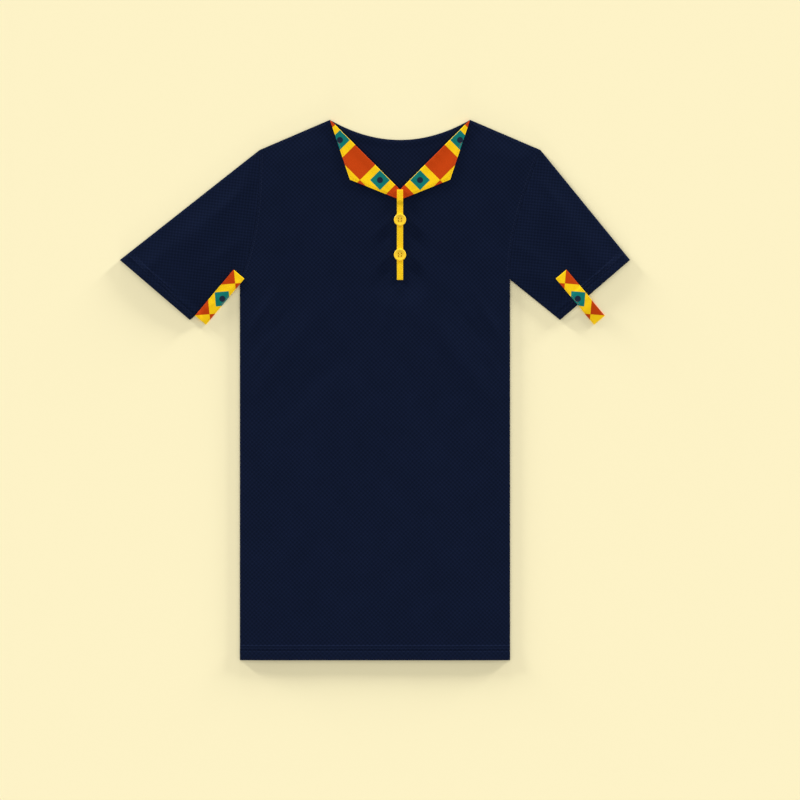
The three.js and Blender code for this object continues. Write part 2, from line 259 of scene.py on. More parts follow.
# Main folds of the solids, each by its middle's x and y, its turn in degrees from +X, the length
# and width of its spread, and its rise, below 0 for a trough
MAIN_FOLDS = [
    (-118, -215, 84, 170, 24, 1.3),
    (-52, -165, 95, 130, 20, -0.6),
    (98, -240, 97, 150, 26, 1.2),
    (30, -290, 88, 100, 22, 0.9),
    (-130, 60, 52, 90, 18, 1.2),
    (-84, 18, 47, 80, 16, -0.6),
    (132, 40, 126, 95, 19, 1.3),
    (78, -40, 118, 85, 18, -0.5),
    (-60, 215, 66, 70, 20, 0.7),
    (150, 225, 108, 75, 20, 0.8),
    (-268, 232, 38, 80, 22, 1.1),
    (-312, 168, 46, 50, 20, 0.6),
    (292, 238, 130, 75, 22, 1.1),
    (246, 214, 142, 50, 20, -0.4),
]

# Finer creases that a pressed knit keeps, given in the same way
FINE_FLAT_BY_SEAM = 9
FINE_FOLDS = [
    (-168, 118, 58, 40, 7, 0.8),
    (-150, 96, 50, 46, 6, -0.5),
    (-171, 60, 68, 38, 7, 0.55),
    (168, 112, 120, 42, 7, 0.8),
    (150, 88, 128, 44, 6, -0.5),
    (172, 52, 110, 36, 7, 0.5),
    (20, 128, 78, 42, 8, 0.6),
    (58, 122, 104, 46, 8, 0.55),
    (38, 96, 90, 52, 7, -0.35),
    (-150, -100, 86, 60, 9, 0.5),
    (-20, -40, 98, 80, 10, 0.45),
    (12, -120, 84, 70, 8, -0.4),
    (150, -130, 95, 66, 9, 0.5),
    (60, -330, 92, 60, 9, 0.6),
    (-70, -335, 85, 64, 9, 0.55),
    (-160, -320, 80, 50, 8, 0.45),
    (158, -325, 98, 55, 8, 0.5),
    (-110, 250, 74, 40, 9, 0.4),
    (195, 262, 100, 42, 8, 0.45),
    (-215, 285, 42, 40, 7, 0.5),
    (-228, 205, 34, 44, 8, 0.45),
    (-330, 192, 52, 26, 7, 0.4),
    (262, 296, 132, 38, 7, 0.5),
    (318, 190, 126, 34, 7, 0.4),
    (232, 205, 150, 30, 7, 0.4),
]

# Puckers that the seams draw in
PUCKER = 0.28
PUCKER_RUN = 9
PUCKER_WAVES = (17, 26)

SEAM_POINTS = 9
SEAM_LINES = [
    line
    for side in SIDES
    for line in (
        [hem_corner(side), underarm(side)],
        list(armhole(side, np.linspace(0, 1, SEAM_POINTS))),
        [underarm(side), cuff_low(side)],
        [shoulder(side), cuff_tip(side)],
        [shoulder(side), neck_point(side), V_BOTTOM],
    )
]
TAPE_LINE = [V_BOTTOM, V_BOTTOM - place(0, TAPE_LENGTH)]


def fold_heights(x, y, folds):
    total = np.zeros(np.shape(x))
    for middle_x, middle_y, degrees, length, width, rise in folds:
        turn = math.radians(degrees)
        along = (x - middle_x) * math.cos(turn) + (y - middle_y) * math.sin(turn)
        across = (y - middle_y) * math.cos(turn) - (x - middle_x) * math.sin(turn)
        total += rise * np.exp(-((along / length) ** 2 + (across / width) ** 2))
    return total


def distance_to_flat(x, y):
    """The distance to the nearest place where the cloth is held flat."""
    from_seams = np.min([distance_to(x, y, line) for line in SEAM_LINES], axis=0)
    return np.maximum(np.minimum(from_seams, distance_to(x, y, TAPE_LINE) - FLAT_BY_TAPE), 0)


def upper_cloth(x, y):
    """The height of the upper cloth's face at each place, before its hems."""
    nearest = distance_to_flat(x, y)
    stand = np.maximum(FULLNESS + fold_heights(x, y, MAIN_FOLDS), 0) * smooth(nearest / FLAT_BY_SEAM)
    fine = fold_heights(x, y, FINE_FOLDS) * smooth(nearest / FINE_FLAT_BY_SEAM)
    waves = [np.sin(2 * np.pi * (x + y) / wave) for wave in PUCKER_WAVES]
    pucker = PUCKER * (0.5 + 0.25 * sum(waves)) * np.exp(-nearest / PUCKER_RUN)
    return STACK + stand + fine + pucker


def on_cloth(x, y):
    """The height of the underside of what lies on the upper cloth."""
    return upper_cloth(x, y) + SEAM_GAP


def stitch_rows(depth):
    """How far inside an edge the two rows of its hem run."""
    return depth - STITCH_INSIDE - TWIN_NEEDLE, depth - STITCH_INSIDE


def hem_rise(depth, inside):
    """How far a turned hem's doubled cloth stands up at a distance inside its edge."""
    return HEM_RISE * (1 - smooth((inside - depth + HEM_EDGE_START) / HEM_EDGE))


def hem_profile(depth, inside):
    """The same with the grooves of its stitches."""
    rise = hem_rise(depth, inside)
    for row in stitch_rows(depth):
        rise = rise - STITCH_GROOVE * groove(inside - row, GROOVE_WIDTH)
    return rise


# Where a mesh needs rows: beside its edge, beside a hem's stitches, and beside the hem's step
EDGE_STOPS = (0, 0.5, 2, 5)
STITCH_STOPS = (-1.6, -0.7, 0, 0.7, 1.4)
STEP_STOPS = (-10, -0.4, 0.3, 1.2, 3)


def hem_stops(depth):
    """Distances inside an edge for the rows of a mesh that shows a hem."""
    beside_stitches = [row + stop for row in stitch_rows(depth) for stop in STITCH_STOPS]
    beside_step = [depth + stop for stop in STEP_STOPS]
    return sorted([*EDGE_STOPS, *beside_stitches, *beside_step])


def stops_along(length, first, step):
    """Distances along a piece: its hem's rows first, then even steps to its end."""
    rest = max(1, math.ceil((length - first[-1]) / step))
    return np.array(list(first[:-1]) + list(np.linspace(first[-1], length, rest + 1)))


# ---- Making cloth ----

# Angles in degrees: an edge sharper than the first is rounded, and one blunter than the second is
# shaded smooth
CUT_EDGE_ANGLE = 60
SMOOTH_ANGLE = 50
# Points and heights nearer than this count as the same
NEARLY = 0.01


def active_alone(piece):
    bpy.ops.object.select_all(action="DESELECT")
    piece.select_set(True)
    bpy.context.view_layer.objects.active = piece


def flat_grid(name, rows, columns):
    """A grid of faces, with the row and column of each of its vertices."""
    bpy.ops.mesh.primitive_grid_add(x_subdivisions=columns, y_subdivisions=rows, size=1)
    piece = bpy.context.active_object
    piece.name = name
    flat = np.zeros(3 * len(piece.data.vertices))
    piece.data.vertices.foreach_get("co", flat)
    steps = (flat.reshape(-1, 3)[:, :2] + 0.5) * (columns, rows)
    return piece, np.rint(steps[:, 1]).astype(int), np.rint(steps[:, 0]).astype(int)


def lay_out(piece, x, y, z):
    """Moves the piece's vertices to places in millimetres."""
    piece.data.vertices.foreach_set("co", (np.stack([x, y, z], axis=1) * MM).ravel())
    piece.data.update()


def chart(piece, name, u, v):
    """Gives each vertex its place in a map: in metres on the cloth, or in repeats of a print."""
    layer = piece.data.uv_layers.get(name) or piece.data.uv_layers.new(name=name)
    corners = np.zeros(len(piece.data.loops), dtype=int)
    piece.data.loops.foreach_get("vertex_index", corners)
    layer.data.foreach_set("uv", np.stack([u[corners], v[corners]], axis=1).ravel())


def apply_modifier(piece, kind, **settings):
    modifier = piece.modifiers.new(kind.lower(), kind)
    for setting, value in settings.items():
        setattr(modifier, setting, value)
    active_alone(piece)
    bpy.ops.object.modifier_apply(modifier=modifier.name)


def edit(piece, *steps):
    """Runs edit-mode operators on the whole of a piece."""
    active_alone(piece)
    bpy.ops.object.mode_set(mode="EDIT")
    bpy.ops.mesh.select_all(action="SELECT")
    for step, settings in steps:
        step(**settings)
    bpy.ops.object.mode_set(mode="OBJECT")


def round_edges(piece, edge):
    """Softens a cloth's cut edges, unless its own form does, and shades the rest of it smooth."""
    if edge:
        sharp = {"limit_method": "ANGLE", "angle_limit": math.radians(CUT_EDGE_ANGLE)}
        apply_modifier(piece, "BEVEL", width=edge * MM, segments=2, **sharp)
    active_alone(piece)
    bpy.ops.object.shade_smooth_by_angle(angle=math.radians(SMOOTH_ANGLE))


def close_below(piece, underside, edge=ROUNDED_EDGE):
    """Makes a laid-out upper face a closed cloth, its lower face at underside(x, y)."""
    lower_copy = {"TRANSFORM_OT_translate": {"value": (0, 0, -MM)}}
    edit(piece, (bpy.ops.mesh.extrude_region_move, lower_copy))
    count = len(piece.data.vertices)
    lower = np.zeros(count, dtype=bool)
    points = np.zeros(3 * count)
    piece.data.vertices.foreach_get("select", lower)
    piece.data.vertices.foreach_get("co", points)
    points = points.reshape(-1, 3)
    points[lower, 2] = underside(*(points[lower, :2] / MM).T) * MM
    piece.data.vertices.foreach_set("co", points.ravel())
    edit(piece, (bpy.ops.mesh.normals_make_consistent, {"inside": False}))
    round_edges(piece, edge)


def finish_piece(piece, node, material):
    piece.data.materials.clear()
    piece.data.materials.append(material)
    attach(piece, "root")
    if node:
        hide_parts(node)


def direction(a, b):
    return (b - a) / np.linalg.norm(b - a)


def reach_along(a, b, corners):
    """How far corners reach aside from the line a to b, and along it, in metres, to 0.1 mm."""
    heading = direction(a, b)
    spots = np.array(corners) - a
    aside = spots[:, 0] * heading[1] - spots[:, 1] * heading[0]
    return round(np.ptp(aside) * MM, 4), round(np.ptp(spots @ heading) * MM, 4)


# ---- Colours and materials ----

NAVY = "0b1325"
# Painted highlight on the pique's raised cells, which is also the paler end of the dye's drift
NAVY_PAINTED_HIGHLIGHT_AND_DYE = "131c35"
YELLOW = "facc15"
ORANGE = "c2410c"
TEAL = "0f766e"
DOT = "1e293b"
FLOOR = "fef3c7"
BLOOM = "8b9bc4"
# Painted shade: a brown-black worked into the print along its weave
WEAVE_PAINTED_SHADE = "2a1b10"
# Painted shade: a dull ochre laid along the tape's ribs
TWILL_PAINTED_SHADE = "b07d05"
CLOUDED_YELLOW = "e9b30f"
FLOOR_SHADE = "f6e7b4"

# How far apart each material's marks lie, in millimetres
PIQUE_CELL = 3.2
PIQUE_FUZZ = 0.9
DYE_CLOUD = 38
THREAD_SPACING = 1.2
SLUB = 0.7
INK_SPREAD = 1.4
INK_EDGE = 0.35
DOT_RADIUS = 4.6
TWILL_RIB = 2.2
BUTTON_CLOUD = 3.85
THREAD_TWIST = 1.11
BOARD_CLOUD = 333


def linear(hex_colour):
    """An sRGB hex colour as the linear values that the shaders read."""
    channels = [int(hex_colour[i:i + 2], 16) / 255 for i in (0, 2, 4)]
    flat = [c / 12.92 if c <= 0.04045 else ((c + 0.055) / 1.055) ** 2.4 for c in channels]
    return (*flat, 1.0)


# Kinds of node, and where a colour mix has its sockets
MATH = "ShaderNodeMath"
NOISE = "ShaderNodeTexNoise"
BUMP = "ShaderNodeBump"
UV_MAP = "ShaderNodeUVMap"
SPLIT = "ShaderNodeSeparateXYZ"
PLACE = "ShaderNodeTexCoord"
MIX = "ShaderNodeMix"
MIX_FROM = 6
MIX_TO = 7
MIX_RESULT = 2


def add_node(tree, kind, inputs=(), output=0, **settings):
    """Adds a node with its settings and links, and gives one of its outputs.

    The inputs are values or other nodes' outputs, in order or by the names of their sockets.
    """
    node = tree.nodes.new(kind)
    for setting, value in settings.items():
        setattr(node, setting, value)
    for socket, value in inputs.items() if isinstance(inputs, dict) else enumerate(inputs):
        if isinstance(value, bpy.types.NodeSocket):
            tree.links.new(value, node.inputs[socket])
        else:
            node.inputs[socket].default_value = value
    return node.outputs[output]


def new_material(name, **shader):
    """A material with the values that are the same all over it, and its tree of nodes."""
    material = bpy.data.materials.new(name)
    material.use_nodes = True
    principled = material.node_tree.nodes["Principled BSDF"]
    for socket, value in shader.items():
        principled.inputs[socket.replace("_", " ")].default_value = value
    return material, material.node_tree


def connect(tree, **outputs):
    """Links what varies over a material to its shader."""
    principled = tree.nodes["Principled BSDF"]
    for socket, output in outputs.items():
        tree.links.new(output, principled.inputs[socket.replace("_", " ")])


def cloth_turns(tree, period):
    """Distances across and along the cloth as angles, with a full turn in each period."""
    cloth = add_node(tree, UV_MAP, uv_map="cloth")
    turns = []
    for axis in ("X", "Y"):
        distance = add_node(tree, SPLIT, [cloth], output=axis)
        turns.append(add_node(tree, MATH, [distance, 2 * math.pi / (period * MM)], operation="MULTIPLY"))
    return turns


def crossed_waves(tree, period):
    """Rises and dips that alternate in both directions of the cloth, from -1 to 1."""
    across, along = cloth_turns(tree, period)
    rows = add_node(tree, MATH, [across], operation="SINE")
    courses = add_node(tree, MATH, [along], operation="SINE")
    return add_node(tree, MATH, [rows, courses], operation="MULTIPLY")


def cloud(tree, shade, highlight, size, strength=1, detail=2.0):
    """A shader's colour, drifting between two over a surface in soft patches."""
    spot = add_node(tree, PLACE, output="Object")
    patches = add_node(tree, NOISE, {"Vector": spot, "Scale": 1 / (size * MM), "Detail": detail})
    share = add_node(tree, MATH, [patches, strength], operation="MULTIPLY")
    drift = {"Factor": share, MIX_FROM: linear(shade), MIX_TO: linear(highlight)}
    connect(tree, Base_Color=add_node(tree, MIX, drift, MIX_RESULT, data_type="RGBA"))


def cotton_pique():
    """Cotton pique knit, dyed navy: staggered raised cells, matt, with a faint soft bloom and a painted
    highlight.

    A real cell is about 1.3 mm across; it is drawn at 3.2 mm, or it would not show.
    """
    material, tree = new_material(
        "cotton pique knit, piece-dyed", Roughness=0.95, Specular_IOR_Level=0.03,
        Sheen_Weight=0.02, Sheen_Roughness=0.5, Sheen_Tint=linear(BLOOM),
    )
    cloth = add_node(tree, UV_MAP, uv_map="cloth")
    cells = crossed_waves(tree, 2 * PIQUE_CELL)
    fuzz = add_node(tree, NOISE, {"Vector": cloth, "Scale": 1 / (PIQUE_FUZZ * MM), "Detail": 3.0})
    relief = add_node(tree, MATH, [fuzz, 0.5, cells], operation="MULTIPLY_ADD")
    normal = add_node(tree, BUMP, {"Height": relief, "Strength": 0.5, "Distance": 0.12 * MM})
    dye = add_node(tree, NOISE, {"Vector": cloth, "Scale": 1 / (DYE_CLOUD * MM), "Detail": 2.0})
    # Painted light: raised cells are coloured lighter than the hollows between them, with a soft drift
    # of dye laid over that
    raised = add_node(tree, MATH, [cells, 0.4, 0.16], operation="MULTIPLY_ADD")
    shade = add_node(tree, MATH, [dye, 0.4, raised], operation="MULTIPLY_ADD", use_clamp=True)
    navy = {"Factor": shade, MIX_FROM: linear(NAVY), MIX_TO: linear(NAVY_PAINTED_HIGHLIGHT_AND_DYE)}
    colour = add_node(tree, MIX, navy, MIX_RESULT, data_type="RGBA")
    connect(tree, Base_Color=colour, Normal=normal)
    return material


def printed_cotton():
    """Plain-woven cotton with a printed diamond repeat: flat bright colours over a visible weave.

    Threads 0.5 mm apart are drawn 1.2 mm apart, or they would not show.
    """
    material, tree = new_material(
        "cotton poplin, screen-printed", Roughness=0.9, Specular_IOR_Level=0.04, Sheen_Weight=0.01
    )
    cloth = add_node(tree, UV_MAP, uv_map="cloth")
    repeats = add_node(tree, UV_MAP, uv_map="print")
    from_dot = []
    for axis in ("X", "Y"):
        count = add_node(tree, SPLIT, [repeats], output=axis)
        share = add_node(tree, MATH, [count, 0.5], operation="PINGPONG")
        from_dot.append(add_node(tree, MATH, [share, TILE], operation="MULTIPLY"))

    spread = add_node(tree, NOISE, {"Vector": cloth, "Scale": 1 / (INK_SPREAD * MM), "Detail": 3.0})
    bleed = add_node(tree, MATH, [spread, 1.1, -0.55], operation="MULTIPLY_ADD")
    diamond = add_node(tree, MATH, from_dot, operation="ADD")
    diamond = add_node(tree, MATH, [diamond, bleed], operation="ADD")
    square = add_node(tree, MATH, [from_dot[0], from_dot[0]], operation="MULTIPLY")
    square = add_node(tree, MATH, [from_dot[1], from_dot[1], square], operation="MULTIPLY_ADD")
    radius = add_node(tree, MATH, [square], operation="SQRT")
    disc = add_node(tree, MATH, [bleed, 0.6, radius], operation="MULTIPLY_ADD")

    colour = linear(ORANGE)
    prints = (YELLOW, TILE / 2, diamond), (TEAL, TILE / 4, diamond), (DOT, DOT_RADIUS, disc)
    for ink, reach, shape in prints:
        edge = {"Value": shape, "From Min": reach - INK_EDGE, "From Max": reach + INK_EDGE}
        inside = add_node(tree, "ShaderNodeMapRange", edge | {"To Min": 1.0, "To Max": 0.0})
        print_over = {"Factor": inside, MIX_FROM: colour, MIX_TO: linear(ink)}
        colour = add_node(tree, MIX, print_over, MIX_RESULT, data_type="RGBA")

    # Painted shade: the print is darkened a little towards brown-black in a crossed pattern that follows
    # the weave
    weave = crossed_waves(tree, 2 * THREAD_SPACING)
    painted_weave_shade = add_node(tree, MATH, [weave, 0.035, 0.02], operation="MULTIPLY_ADD")
    shaded = {"Factor": painted_weave_shade, MIX_FROM: colour, MIX_TO: linear(WEAVE_PAINTED_SHADE)}
    colour = add_node(tree, MIX, shaded, MIX_RESULT, data_type="RGBA")
    slubs = add_node(tree, NOISE, {"Vector": cloth, "Scale": 1 / (SLUB * MM), "Detail": 3.0})
    relief = add_node(tree, MATH, [weave, slubs], operation="ADD")
    normal = add_node(tree, BUMP, {"Height": relief, "Strength": 0.3, "Distance": 0.08 * MM})
    connect(tree, Base_Color=colour, Normal=normal)
    return material


def twill_tape():
    """Cotton twill tape, dyed yellow: fine slanting ribs, matt.

    Ribs 0.8 mm apart are drawn 2.2 mm apart, or they would not show.
    """
    material, tree = new_material(
        "cotton twill tape, dyed", Roughness=0.85, Specular_IOR_Level=0.1, Sheen_Weight=0.01
    )
    slant = add_node(tree, MATH, cloth_turns(tree, TWILL_RIB), operation="ADD")
    ribs = add_node(tree, MATH, [slant], operation="SINE")
    # Painted shade: the yellow is darkened a little towards dull ochre in slanting stripes that follow
    # the ribs
    shade = add_node(tree, MATH, [ribs, 0.06, 0.03], operation="MULTIPLY_ADD")
    rib_painted_shade = {"Factor": shade, MIX_FROM: linear(YELLOW), MIX_TO: linear(TWILL_PAINTED_SHADE)}
    colour = add_node(tree, MIX, rib_painted_shade, MIX_RESULT, data_type="RGBA")
    normal = add_node(tree, BUMP, {"Height": ribs, "Strength": 0.35, "Distance": 0.08 * MM})
    connect(tree, Base_Color=colour, Normal=normal)
    return material


def cast_polyester():
    """Cast polyester button, tumbled and polished: glossy, faintly clouded yellow."""
    material, tree = new_material(
        "cast polyester, polished", Roughness=0.3, Specular_IOR_Level=0.4, Coat_Weight=0.1, IOR=1.54
    )
    cloud(tree, YELLOW, CLOUDED_YELLOW, BUTTON_CLOUD, strength=0.15)
    return material


def sewing_thread(name, shade, highlight):
    """Spun polyester sewing thread: a two-ply twist, with a slight sheen."""
    material, tree = new_material(name, Roughness=0.7, Specular_IOR_Level=0.1, Sheen_Weight=0.02)
    cloud(tree, shade, highlight, THREAD_TWIST, detail=1.0)
    return material


def studio_floor():
    """Smooth painted board, warm cream, matt."""
    material, tree = new_material("painted board, matt", Roughness=0.95, Specular_IOR_Level=0.0)
    cloud(tree, FLOOR, FLOOR_SHADE, BOARD_CLOUD, strength=0.04)
    return material


PIQUE = cotton_pique()
PRINT = printed_cotton()
TAPE = twill_tape()
POLYESTER = cast_polyester()
NAVY_THREAD = sewing_thread("spun polyester thread, navy", shade="0d1529", highlight="182342")
YELLOW_THREAD = sewing_thread("spun polyester thread, yellow", shade="eebd14", highlight="ffdc4a")
ORANGE_THREAD = sewing_thread("spun polyester thread, orange", shade="b43c0b", highlight="d4551d")


# ---- Body panels ----

GRID_STEP = 4.2
PANEL_COLUMNS = 96
YOKE_ROWS = 56
# Points along an armhole, a panel's top edge and the back neckline, drawn as lines
ARMHOLE_POINTS = 21
TOP_EDGE_POINTS = 41
NECKLINE_POINTS = 25


def top_edge(x, neck_drop):
    """The height of a body panel's top edge: the shoulder seams, with the neckline between."""
    share = (x - neck_point(-1)[0]) / NECK_WIDTH
    past = np.maximum(-share, share - 1) * NECK_WIDTH
    slope = NECK_Y - past * SHOULDER_DROP / ((SHOULDER_WIDTH - NECK_WIDTH) / 2)
    inside = (share >= 0) & (share <= 1)
    return np.where(inside, NECK_Y - neck_drop(share), slope)


def back_neck_drop(share):
    return 4 * BACK_NECK_DROP * share * (1 - share)


def front_neck_drop(share):
    return V_DEPTH * (1 - np.abs(2 * share - 1))


def body_panel(name, neck_drop):
    """A body panel's grid and the place of each of its vertices: hem, sides, armholes, top edge."""
    body_stops = stops_along(UNDERARM_ABOVE_HEM, hem_stops(HEM_DEPTH), GRID_STEP)
    rows = len(body_stops) - 1 + YOKE_ROWS
    piece, row, column = flat_grid(name, rows, PANEL_COLUMNS)
    share = column / PANEL_COLUMNS
    low_x = mix(hem_corner(-1)[0], hem_corner(1)[0], share)
    top_x = mix(shoulder(-1)[0], shoulder(1)[0], share)
    rise = np.clip((row - len(body_stops) + 1) / YOKE_ROWS, 0, 1)
    bow = np.where(rise > 0, armhole_bow(rise) * (1 - 2 * share), 0)
    x = mix(low_x, top_x, rise) + bow
    low_y = HEM_Y + body_stops[np.minimum(row, len(body_stops) - 1)]
    y = np.where(rise > 0, mix(UNDERARM_Y, top_edge(top_x, neck_drop), rise), low_y)
    return piece, x, y


def panel_outline(neck_drop):
    shares = np.linspace(0, 1, TOP_EDGE_POINTS)
    top_x = mix(shoulder(-1)[0], shoulder(1)[0], shares)
    top = [place(x, y) for x, y in zip(top_x, top_edge(top_x, neck_drop))]
    rising = armhole(-1, np.linspace(0, 1, ARMHOLE_POINTS))
    falling = armhole(1, np.linspace(1, 0, ARMHOLE_POINTS))
    return [hem_corner(-1), *rising, *top, *falling, hem_corner(1)]


def declare_panel(piece, neck_drop, **settings):
    """Works out the outline that a body panel was cut to, its hem left out."""
    outline = panel_outline(neck_drop)


def upper_cloth_underside(x, y):
    return upper_cloth(x, y) - CLOTH


def front_height(x, y):
    return upper_cloth(x, y) + hem_profile(HEM_DEPTH, y - HEM_Y)


def make_front():
    piece, x, y = body_panel("front_pique", front_neck_drop)
    lay_out(piece, x, y, front_height(x, y))
    chart(piece, "cloth", x * MM, y * MM)
    close_below(piece, upper_cloth_underside)
    finish_piece(piece, "front_panel", PIQUE)
    declare_panel(piece, front_neck_drop, rests_on=["back_pique"])


def back_neckline():
    shares = np.linspace(0, 1, NECKLINE_POINTS)
    return between(neck_point(-1), neck_point(1), shares) - np.outer(back_neck_drop(shares), (0, 1))


def on_table(x, y):
    return np.zeros(np.shape(x))


def make_back():
    piece, x, y = body_panel("back_pique", back_neck_drop)
    from_neck = distance_to(x, y, back_neckline())
    bound = 1 - smooth((from_neck - NECK_BINDING) / BINDING_EDGE)
    lay_out(piece, x, y, CLOTH + BINDING_RISE * bound)
    chart(piece, "cloth", x * MM, y * MM)
    close_below(piece, on_table)
    finish_piece(piece, "back_panel", PIQUE)
    declare_panel(piece, back_neck_drop)


# ---- Sleeves ----

# Faces across one layer of a sleeve and round each fold, and the points of the whole ring
SLEEVE_ACROSS = 44
FOLD_STEPS = 8
RING_POINTS = 2 * (SLEEVE_ACROSS + FOLD_STEPS)
# How far from a fold the upper layer comes up to its own height
FOLD_RUN = 4


def sleeve_ring(width):
    """One section of a flattened tube: distances across, heights, and which points lie on top."""
    fold = STACK / 2
    shares = np.linspace(0, 1, SLEEVE_ACROSS + 1)
    turns = np.pi * (0.5 - np.arange(1, FOLD_STEPS) / FOLD_STEPS)
    level = mix(fold, width - fold, shares)
    round_out = fold * np.cos(turns)
    round_up = fold * np.sin(turns)
    across = np.concatenate([level, width - fold + round_out, level[::-1], fold - round_out])
    top, bottom = np.full(level.shape, STACK), np.zeros(level.shape)
    heights = np.concatenate([top, fold + round_up, bottom, fold - round_up])
    on_top = np.arange(len(across)) <= SLEEVE_ACROSS
    return across, heights, on_top


def sleeve_place(side, along, share):
    """A place on a sleeve laid flat, from its armhole to its cuff and from its top fold down."""
    seam = armhole(side, 1 - np.asarray(share, dtype=float))
    seam[..., 0] += side * ARMHOLE_GAP
    cuff = between(cuff_tip(side), cuff_low(side), share)
    return seam + (cuff - seam) * np.asarray(along, dtype=float)[..., None]


def sleeve_length(side):
    middle = sleeve_place(side, np.array([0.0, 1.0]), np.array([0.5, 0.5]))
    return np.linalg.norm(middle[1] - middle[0])


def cuff_distance(side, x, y):
    return distance_to(x, y, [cuff_tip(side), cuff_low(side)])


def make_sleeve(side):
    length = sleeve_length(side)
    stops = length - stops_along(length, hem_stops(CUFF_HEM_DEPTH), GRID_STEP)
    alongs = stops[::-1] / length
    name = "sleeve_%s_pique" % SIDE_NAMES[side]
    piece, row, column = flat_grid(name, len(alongs) - 1, RING_POINTS)
    column = column % RING_POINTS
    rings = []
    for along in alongs:
        ends = sleeve_place(side, np.array([along, along]), np.array([0.0, 1.0]))
        width = np.linalg.norm(ends[1] - ends[0])
        across, heights, on_top = sleeve_ring(width)
        spots = sleeve_place(side, np.full(RING_POINTS, along), across / width)
        lifted = upper_cloth(spots[:, 0], spots[:, 1]) - STACK
        lifted += hem_profile(CUFF_HEM_DEPTH, cuff_distance(side, spots[:, 0], spots[:, 1]))
        edge = np.minimum(across, width - across)
        heights = heights + np.where(on_top, lifted * smooth(edge / FOLD_RUN), 0)
        rings.append(np.column_stack([spots, heights]))
    x, y, z = np.array(rings)[row, column].T
    lay_out(piece, x, y, z)
    grain = direction(shoulder(side), cuff_tip(side))
    chart(piece, "cloth", (x * grain[1] - y * grain[0]) * MM, (x * grain[0] + y * grain[1]) * MM)
    edit(
        piece,
        (bpy.ops.mesh.remove_doubles, {"threshold": NEARLY * MM}),
        (bpy.ops.mesh.normals_make_consistent, {"inside": False}),
    )
    apply_modifier(piece, "SOLIDIFY", thickness=CLOTH * MM, offset=-1, use_rim=True)
    round_edges(piece, ROUNDED_EDGE)
    finish_piece(piece, "sleeve_%s" % SIDE_NAMES[side], PIQUE)
    seam = armhole(side, np.linspace(0, 1, ARMHOLE_POINTS))
    outline = [cuff_tip(side), cuff_low(side), *seam]
    across, along = reach_along(shoulder(side), cuff_tip(side), outline)


# ---- Collar ----

# Shares of a leaf's length, with its point half way, and of its width, closer at its rounded edges
LEAF_HALF_ROWS = 45
TO_POINT = np.linspace(COLLAR_TIP_SHARE, 0.5, LEAF_HALF_ROWS + 1)
PAST_POINT = np.linspace(0.5, 1, LEAF_HALF_ROWS + 1)
LEAF_ROWS = np.concatenate([TO_POINT, PAST_POINT[1:]])
LEAF_RIM = np.array([0, 0.0014, 0.0047, 0.0095, 0.0165])
LEAF_ACROSS = 29
LEAF_MIDDLE = np.linspace(LEAF_RIM[-1], 1 - LEAF_RIM[-1], LEAF_ACROSS)
LEAF_COLUMNS = np.concatenate([LEAF_RIM[:-1], LEAF_MIDDLE, 1 - LEAF_RIM[-2::-1]])


def leaf_edges(side):
    """The corners of a collar leaf, from its tip at the shoulder to the middle of the V."""
    clear = SEAM_GAP / 2
    neck = neck_point(side)
    leaf_point = place(YOKE_MIDDLE + side * COLLAR_POINT_OUT, NECK_Y - COLLAR_POINT_DROP)
    bottom = place(YOKE_MIDDLE, NECK_Y - COLLAR_BOTTOM_DROP)
    inner_end = mix(neck, V_BOTTOM, 1 - clear / abs(V_BOTTOM[0] - neck[0]))
    outer_end = mix(leaf_point, bottom, 1 - clear / abs(bottom[0] - leaf_point[0]))
    return neck, inner_end, leaf_point, outer_end


def leaf_top(x, y, from_fold):
    """The height of a leaf's face: a roll along its fold, which eases out towards the tape."""
    ease = smooth((np.abs(x - YOKE_MIDDLE) - TAPE_WIDTH / 2) / COLLAR_ROLL_EASE)
    roll = COLLAR_ROLL * ease * np.exp(-((from_fold / COLLAR_ROLL_RUN) ** 2))
    return on_cloth(x, y) + COLLAR_CLOTH + roll


def make_leaf(side):
    neck, inner_end, leaf_point, outer_end = leaf_edges(side)
    name = "collar_%s_leaf" % SIDE_NAMES[side]
    piece, row, column = flat_grid(name, len(LEAF_ROWS) - 1, len(LEAF_COLUMNS) - 1)
    share = LEAF_ROWS[row][:, None]
    inner = mix(neck, inner_end, share)
    upper_run, lower_run = mix(neck, leaf_point, 2 * share), mix(leaf_point, outer_end, 2 * share - 1)
    outer = np.where(share < 0.5, upper_run, lower_run)
    spots = mix(inner, outer, LEAF_COLUMNS[column][:, None])
    x, y = spots.T
    from_fold = np.linalg.norm(spots - inner, axis=1)
    from_edge = distance_to(x, y, [neck, leaf_point, outer_end])
    beside_tape = smooth(np.abs(x - YOKE_MIDDLE) - TAPE_WIDTH / 2)
    dip = COLLAR_GROOVE * groove(from_edge - COLLAR_STITCH_INSIDE, GROOVE_WIDTH) * beside_tape
    from_rim = np.minimum(from_edge, distance_to(x, y, [neck, inner_end]))
    lay_out(piece, x, y, leaf_top(x, y, from_fold) - dip - rounding(from_rim, COLLAR_ROUNDING))
    chart(piece, "cloth", x * MM, y * MM)
    chart(piece, "print", (x - COLLAR_DOT[0]) / TILE, (y - COLLAR_DOT[1]) / TILE)
    close_below(piece, on_cloth, edge=None)
    finish_piece(piece, "collar_%s" % SIDE_NAMES[side], PRINT)


# ---- Placket tape and buttons ----

TAPE_TOP = STACK + SEAM_GAP + TAPE_CLOTH
TAPE_ROWS = 90
TAPE_ACROSS = 12
BUTTON_SIDES = 48
BUTTON_ROUNDING_STEPS = 4
BUTTON_EDGE_ANGLE = 25
BUTTON_SMOOTH_ANGLE = 35
HOLE_SIDES = 20
DRILL_LENGTH = 8


def tape_underside(x, y):
    """The tape lies on the front, and steps up over the bottom ends of the collar."""
    step_low = NECK_Y - COLLAR_BOTTOM_DROP - TAPE_STEP_START - TAPE_STEP_RUN
    return STACK + SEAM_GAP + smooth((y - step_low) / TAPE_STEP_RUN) * (COLLAR_CLOTH + SEAM_GAP)


